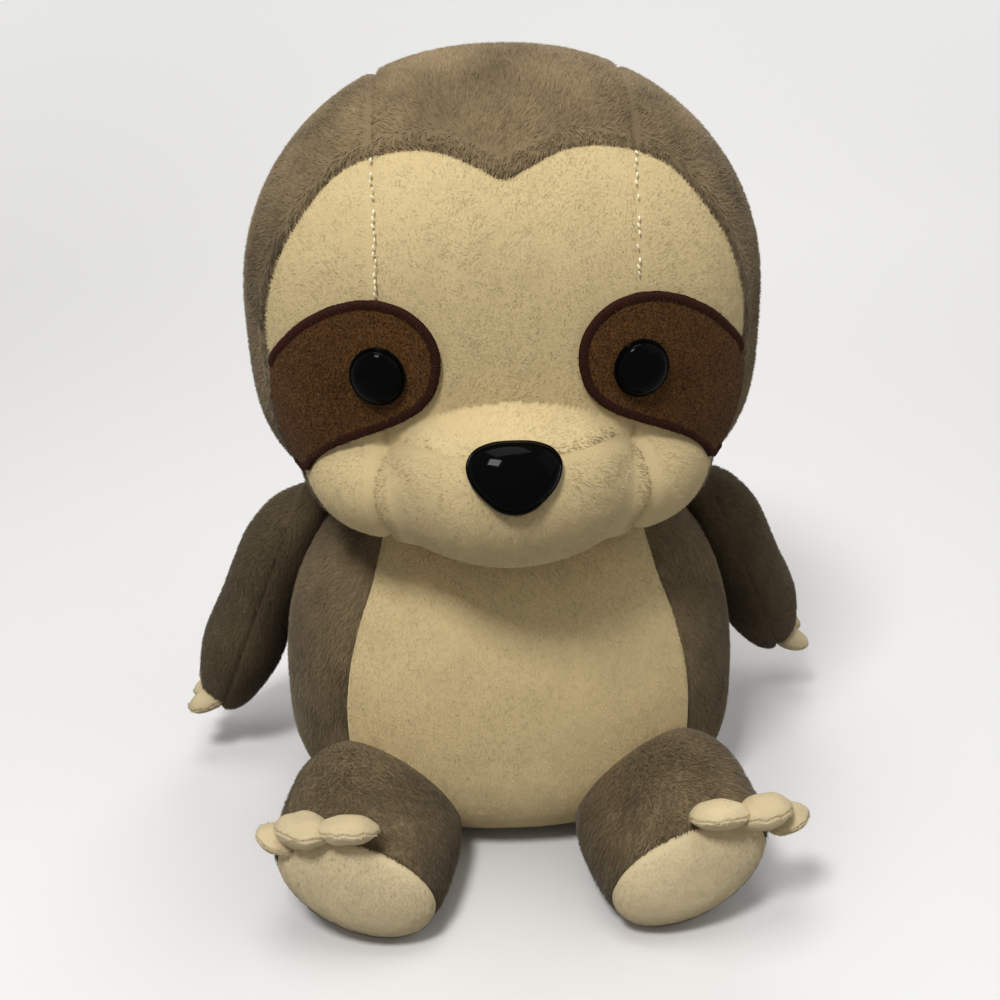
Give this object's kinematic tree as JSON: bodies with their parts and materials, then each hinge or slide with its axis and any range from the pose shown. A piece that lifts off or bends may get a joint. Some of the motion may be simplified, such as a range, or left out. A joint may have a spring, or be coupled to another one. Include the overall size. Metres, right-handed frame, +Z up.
{
  "type": "plush sloth",
  "caption": "Seated plush sloth in warm grey-brown and cream short plush, with dark brown eye patches, glossy black eyes and nose, and puffy beige claws.",
  "frame": {"origin": "on the floor below the middle of the toy's bounding box", "axes": "+Z up, the toy faces -Y, +X towards the toy's left hand"},
  "size_m": [0.2518, 0.1742, 0.2686],
  "materials": {
    "taupe_plush": "short brushed plush, warm grey-brown",
    "cream_plush": "short brushed plush, cream",
    "claw_plush": "very short smooth plush, pale beige",
    "patch_suede": "flat dark brown velour with a satin-stitched edge",
    "black_gloss": "polished black",
    "white_plastic": "moulded, unpolished",
    "stuffing_fibre": "loose polyester fibre filling"
  },
  "bodies": {
    "torso": {"body_stuffing": "stuffing_fibre", "belly_panel": "cream_plush", "body_side_left": "taupe_plush", "body_side_right": "taupe_plush", "back_left": "taupe_plush", "back_right": "taupe_plush", "seat_panel": "taupe_plush"},
    "neck": {"neck_stuffing": "stuffing_fibre"},
    "head": {"head_stuffing": "stuffing_fibre", "hood_centre": "taupe_plush", "hood_left": "taupe_plush", "hood_right": "taupe_plush", "face_centre": "cream_plush", "face_left": "cream_plush", "face_right": "cream_plush", "muzzle_front": "cream_plush", "eye_patch_left": "patch_suede", "eye_patch_right": "patch_suede", "eye_left": "black_gloss", "eye_right": "black_gloss", "eye_washer_left": "white_plastic", "eye_washer_right": "white_plastic", "nose": "black_gloss", "nose_washer": "white_plastic"},
    "arm_left": {"arm_outer_left": "taupe_plush", "arm_inner_left": "taupe_plush", "arm_stuffing_left": "stuffing_fibre", "hand_claws_left": "claw_plush"},
    "leg_left": {"leg_upper_left": "taupe_plush", "sole_left": "claw_plush", "leg_stuffing_left": "stuffing_fibre", "foot_claws_left": "claw_plush"},
    "arm_right": {"arm_outer_right": "taupe_plush", "arm_inner_right": "taupe_plush", "arm_stuffing_right": "stuffing_fibre", "hand_claws_right": "claw_plush"},
    "leg_right": {"leg_upper_right": "taupe_plush", "sole_right": "claw_plush", "leg_stuffing_right": "stuffing_fibre", "foot_claws_right": "claw_plush"}
  },
  "joints": [
    {"name": "neck_turn", "type": "hinge", "parent": "torso", "child": "neck", "pos_m": [0.0005, 0.02515, 0.126], "axis": [0, 0, 1], "range_deg": [-22, 22], "stiffness_Nm_per_rad": 1.2},
    {"name": "neck_nod", "type": "hinge", "parent": "neck", "child": "head", "pos_m": [0.0005, 0.02515, 0.126], "axis": [1, 0, 0], "range_deg": [-6, 6], "stiffness_Nm_per_rad": 1.8},
    {"name": "shoulder_left", "type": "hinge", "parent": "torso", "child": "arm_left", "pos_m": [0.06, 0.03315, 0.112], "axis": [0, -1, 0], "range_deg": [0, 45], "stiffness_Nm_per_rad": 0.12},
    {"name": "shoulder_right", "type": "hinge", "parent": "torso", "child": "arm_right", "pos_m": [-0.059, 0.03315, 0.112], "axis": [0, 1, 0], "range_deg": [0, 45], "stiffness_Nm_per_rad": 0.12},
    {"name": "hip_left", "type": "hinge", "parent": "torso", "child": "leg_left", "pos_m": [0.0005, -0.04035, 0.051], "axis": [-1, 0, 0], "range_deg": [0, 30], "stiffness_Nm_per_rad": 0.2},
    {"name": "hip_right", "type": "hinge", "parent": "torso", "child": "leg_right", "pos_m": [0.0005, -0.04035, 0.051], "axis": [-1, 0, 0], "range_deg": [0, 30], "stiffness_Nm_per_rad": 0.2}
  ]
}
